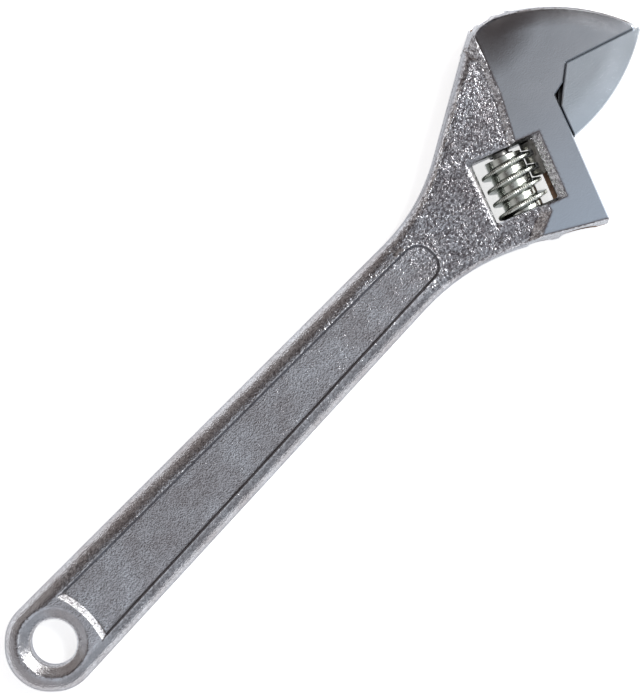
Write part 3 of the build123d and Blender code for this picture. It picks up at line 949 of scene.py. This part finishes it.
def worm_mesh():
    """The knurled thread on its core, cut square at both ends."""
    mesh = bmesh.new()
    steps = KNURLS * STEPS_PER_KNURL
    turns = math.ceil(WORM_LENGTH / WORM_LEAD) + 2
    below = math.ceil((WORM_PHASE + WORM_LENGTH / 2) / WORM_LEAD) + 1
    profile = thread_profile()
    rows = []
    for step in range(turns * steps + 1):
        angle = 2 * math.pi * step / steps
        lift = WORM_PHASE + WORM_LEAD * (step / steps - below)
        groove = KNURL_DEPTH * (0.5 - 0.5 * math.cos(angle * KNURLS))
        height = within((THREAD_END - lift) / THREAD_FADE)
        row = []
        for along, radius, knurled in profile:
            radius = WORM_CORE + (radius - knurled * groove - WORM_CORE) * height
            row.append(mesh.verts.new(worm_point(angle, radius, along + lift)))
        rows.append(row)
    for low, high in zip(rows, rows[1:]):
        for index in range(len(profile) - 1):
            mesh.faces.new((low[index], low[index + 1], high[index + 1], high[index]))
    bmesh.ops.remove_doubles(mesh, verts=mesh.verts, dist=THREAD_WELD * MM)
    for side in (-1.0, 1.0):
        bmesh.ops.bisect_plane(
            mesh,
            geom=mesh.verts[:] + mesh.edges[:] + mesh.faces[:],
            dist=END_CUT,
            plane_co=WORM_AT + RISE * side * WORM_LENGTH / 2 * MM,
            plane_no=RISE * side,
            clear_outer=True,
        )
    rims = [edge for edge in mesh.edges if edge.is_boundary]
    bmesh.ops.holes_fill(mesh, edges=rims, sides=0)
    bmesh.ops.recalc_face_normals(mesh, faces=mesh.faces)
    return mesh


def axis_cylinder(name, radius, low, high):
    """A closed cylinder on the worm's axis, used as a cutter."""
    mesh = bmesh.new()
    turn = Matrix((DEPTH, -UP, RISE)).transposed().to_4x4()
    middle = Matrix.Translation(WORM_AT + RISE * (low + high) / 2 * MM)
    bmesh.ops.create_cone(
        mesh,
        cap_ends=True,
        segments=CUTTER_SIDES,
        radius1=radius * MM,
        radius2=radius * MM,
        depth=(high - low) * MM,
        matrix=middle @ turn,
    )
    return new_object(name, mesh_data(name, mesh))


def apply_cut(piece, cutter):
    """Takes the cutter's shape out of the piece, and removes the cutter."""
    modifier = piece.modifiers.new("cut", "BOOLEAN")
    modifier.operation = "DIFFERENCE"
    modifier.solver = "EXACT"
    modifier.object = cutter
    bpy.context.view_layer.update()
    shaped = piece.evaluated_get(bpy.context.evaluated_depsgraph_get())
    data = bpy.data.meshes.new_from_object(shaped)
    piece.modifiers.clear()
    piece.data = data
    bpy.data.objects.remove(cutter)


def build_worm():
    name = "adjusting_worm_knurled"
    piece = new_object(name, mesh_data(name, worm_mesh()))
    top = WORM_LENGTH / 2
    past = top + CUTTER_MARGIN
    apply_cut(piece, axis_cylinder("pin_cutter", PIN_RADIUS, -past, past))
    apply_cut(piece, axis_cylinder("pocket_cutter", POCKET_RADIUS, top - POCKET_DEPTH, past))
    piece.data.materials.clear()
    piece.data.materials.append(bright_plating("worm_plating", (0.72, 0.74, 0.68), 0.3))
    for polygon in piece.data.polygons:
        polygon.use_smooth = True
    piece.data.set_sharp_from_angle(angle=WORM_SHARP)
    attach(piece, "worm")
    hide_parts("adjusting_worm")


# Spring: round wire wound from the pocket's floor to the window's wall

SPRING_RADIUS = 2.52
SPRING_WIRE = 0.5
SPRING_TURNS = 4.5
SPRING_STEPS = 40
SPRING_PLAY = 0.05
WIRE_ROUNDNESS = 4


def build_spring():
    low = WORM_LENGTH / 2 - POCKET_DEPTH + SPRING_WIRE / 2 + SPRING_PLAY
    low_corner, high_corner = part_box("worm_spring")
    middle = (low_corner + high_corner) / 2
    centre = (middle - WORM_AT).dot(RISE) / MM
    length = 2 * (centre - low)
    path = bpy.data.curves.new("worm_spring_wire", "CURVE")
    path.dimensions = "3D"
    path.bevel_depth = SPRING_WIRE / 2 * MM
    path.bevel_resolution = WIRE_ROUNDNESS
    path.use_fill_caps = True
    line = path.splines.new("POLY")
    count = int(SPRING_TURNS * SPRING_STEPS)
    line.points.add(count)
    for index in range(count + 1):
        share = index / count
        angle = 2 * math.pi * SPRING_TURNS * share
        place = worm_point(angle, SPRING_RADIUS, low + length * share)
        line.points[index].co = (*place, 1.0)
    line.use_smooth = True
    piece = new_object("worm_spring_wire", path)
    path.materials.append(bare_steel("spring_steel", (0.30, 0.30, 0.31), (0.52, 0.52, 0.53)))
    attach(piece, "body")
    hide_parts("worm_spring")


def finish_node(name, material):
    """Gives a CAD node that keeps its shape its material."""
    node = frame["nodes"][name]
    node.data.materials.clear()
    node.data.materials.append(material)


build_body_and_jaw()
build_worm()
build_spring()
finish_node("worm_pin", bare_steel("pin_steel", (0.34, 0.33, 0.31), (0.58, 0.57, 0.55)))


# Stage: pale floor, on which head and handle's end both rest, soft light and the camera

WHITE = (1.0, 1.0, 1.0, 1.0)
REST_HEAD = Vector((0.1431, 0.0, -0.0065))
REST_END = Vector((-0.009, 0.0, -0.0037))
FLOOR_SIZE = 4.0
FLOOR_GAP = 0.00005
FLOOR_COLOUR = (0.86, 0.86, 0.86, 1.0)
FLOOR_ROUGHNESS = 0.9
FLOOR_GLOW = 0.66

# What the part reflects: a soft box over one side, a dark room on the other, bright far ends
SOFTBOX_TAIL = (0.74, 0.77, 0.82)
SOFTBOX_HEAD = (0.60, 0.63, 0.67)
SOFTBOX_SIDE = (0.43, 0.45, 0.48)
DARK_ROOM = (0.085, 0.068, 0.066)
WARM_WALL = (0.37, 0.335, 0.32)
BRIGHT_END = (1.9, 1.9, 1.85)
FAR_END = (0.52, 0.51, 0.52)

KEY_FROM = Vector((0.62, -0.1, 0.78))
KEY_DISTANCE = 1.1
KEY_SIZE = 0.35
KEY_POWER = 5.0

CAMERA_AT = Vector((0.0902, 0.0027, 0.501))
CAMERA_ROLL = math.radians(-46.174)
CAMERA_NEAREST = 0.01
VIEW_HEIGHT = 0.1583
SENSOR = 36.0


def shown_directly(nodes):
    """1 for what the camera, a reflection or glass shows directly, else 0."""
    path = nodes.add("ShaderNodeLightPath")
    shown = path.outputs["Is Camera Ray"]
    for ray in ("Is Glossy Ray", "Is Transmission Ray"):
        either = nodes.add("ShaderNodeMath", operation="MAXIMUM")
        nodes.link(shown, either.inputs[0])
        nodes.link(path.outputs[ray], either.inputs[1])
        shown = either.outputs[0]
    return shown


def floor_paper():
    nodes = Nodes("floor_paper")
    nodes.shader.inputs["Base Color"].default_value = FLOOR_COLOUR
    nodes.shader.inputs["Roughness"].default_value = FLOOR_ROUGHNESS
    nodes.shader.inputs["Specular IOR Level"].default_value = 0.0
    nodes.shader.inputs["Emission Color"].default_value = WHITE
    glow = nodes.times(shown_directly(nodes), FLOOR_GLOW)
    nodes.link(glow, nodes.shader.inputs["Emission Strength"])
    return nodes.material


def build_floor():
    slope = (REST_HEAD.z - REST_END.z) / (REST_HEAD.x - REST_END.x)
    mesh = bmesh.new()
    bmesh.ops.create_grid(mesh, x_segments=1, y_segments=1, size=FLOOR_SIZE / 2)
    for vert in mesh.verts:
        vert.co.z = REST_HEAD.z + slope * (vert.co.x - REST_HEAD.x) - FLOOR_GAP
    floor = new_object("floor", mesh_data("floor", mesh))
    floor.data.materials.append(floor_paper())


def build_world():
    """Studio that lights the part, white where the camera looks past it."""
    world = bpy.data.worlds.new("studio")
    bpy.context.scene.world = world
    world.use_nodes = True
    tree = world.node_tree
    background = tree.nodes["Background"]
    coordinates = tree.nodes.new("ShaderNodeTexCoord")
    split = tree.nodes.new("ShaderNodeSeparateXYZ")
    tree.links.new(coordinates.outputs["Generated"], split.inputs[0])

    def blend_by(axis, low, high, before, after):
        """Blends two colours over a stretch of the direction's share along an axis."""
        span = tree.nodes.new("ShaderNodeMapRange")
        span.interpolation_type = "SMOOTHSTEP"
        span.inputs["From Min"].default_value = low
        span.inputs["From Max"].default_value = high
        tree.links.new(split.outputs[axis], span.inputs["Value"])
        mix = tree.nodes.new("ShaderNodeMix")
        mix.data_type = "RGBA"
        tree.links.new(span.outputs["Result"], mix.inputs["Factor"])
        for socket, value in ((mix.inputs["A"], before), (mix.inputs["B"], after)):
            if isinstance(value, tuple):
                socket.default_value = (*value, 1.0)
            else:
                tree.links.new(value, socket)
        return mix.outputs["Result"]

    softbox = blend_by("X", -0.15, 0.25, SOFTBOX_TAIL, SOFTBOX_HEAD)
    side = blend_by("Y", -0.6, -0.2, SOFTBOX_SIDE, softbox)
    across = blend_by("Y", -0.06, 0.19, side, DARK_ROOM)
    beyond = blend_by("Y", 0.42, 0.68, across, WARM_WALL)
    along = blend_by("X", 0.6, 0.88, beyond, BRIGHT_END)
    studio = blend_by("X", -0.75, -0.35, FAR_END, along)
    path = tree.nodes.new("ShaderNodeLightPath")
    white = tree.nodes.new("ShaderNodeMix")
    white.data_type = "RGBA"
    white.inputs["B"].default_value = WHITE
    tree.links.new(path.outputs["Is Camera Ray"], white.inputs["Factor"])
    tree.links.new(studio, white.inputs["A"])
    tree.links.new(white.outputs["Result"], background.inputs["Color"])


def build_key_light():
    lamp = bpy.data.lights.new("key_softbox", "AREA")
    lamp.shape = "DISK"
    lamp.size = KEY_SIZE
    lamp.energy = KEY_POWER
    piece = new_object("key_softbox", lamp)
    away = KEY_FROM.normalized()
    piece.location = Vector((CAMERA_AT.x, CAMERA_AT.y, 0.0)) + away * KEY_DISTANCE
    piece.rotation_euler = away.to_track_quat("Z", "Y").to_euler()


def build_camera():
    lens = bpy.data.cameras.new("photo_camera")
    lens.sensor_width = SENSOR
    lens.lens = SENSOR * CAMERA_AT.z / VIEW_HEIGHT
    lens.clip_start = CAMERA_NEAREST
    camera = new_object("photo_camera", lens)
    camera.location = CAMERA_AT
    camera.rotation_euler = (0.0, 0.0, CAMERA_ROLL)
    bpy.context.scene.camera = camera


build_floor()
build_world()
build_key_light()
build_camera()
bpy.context.scene.view_settings.view_transform = "Standard"
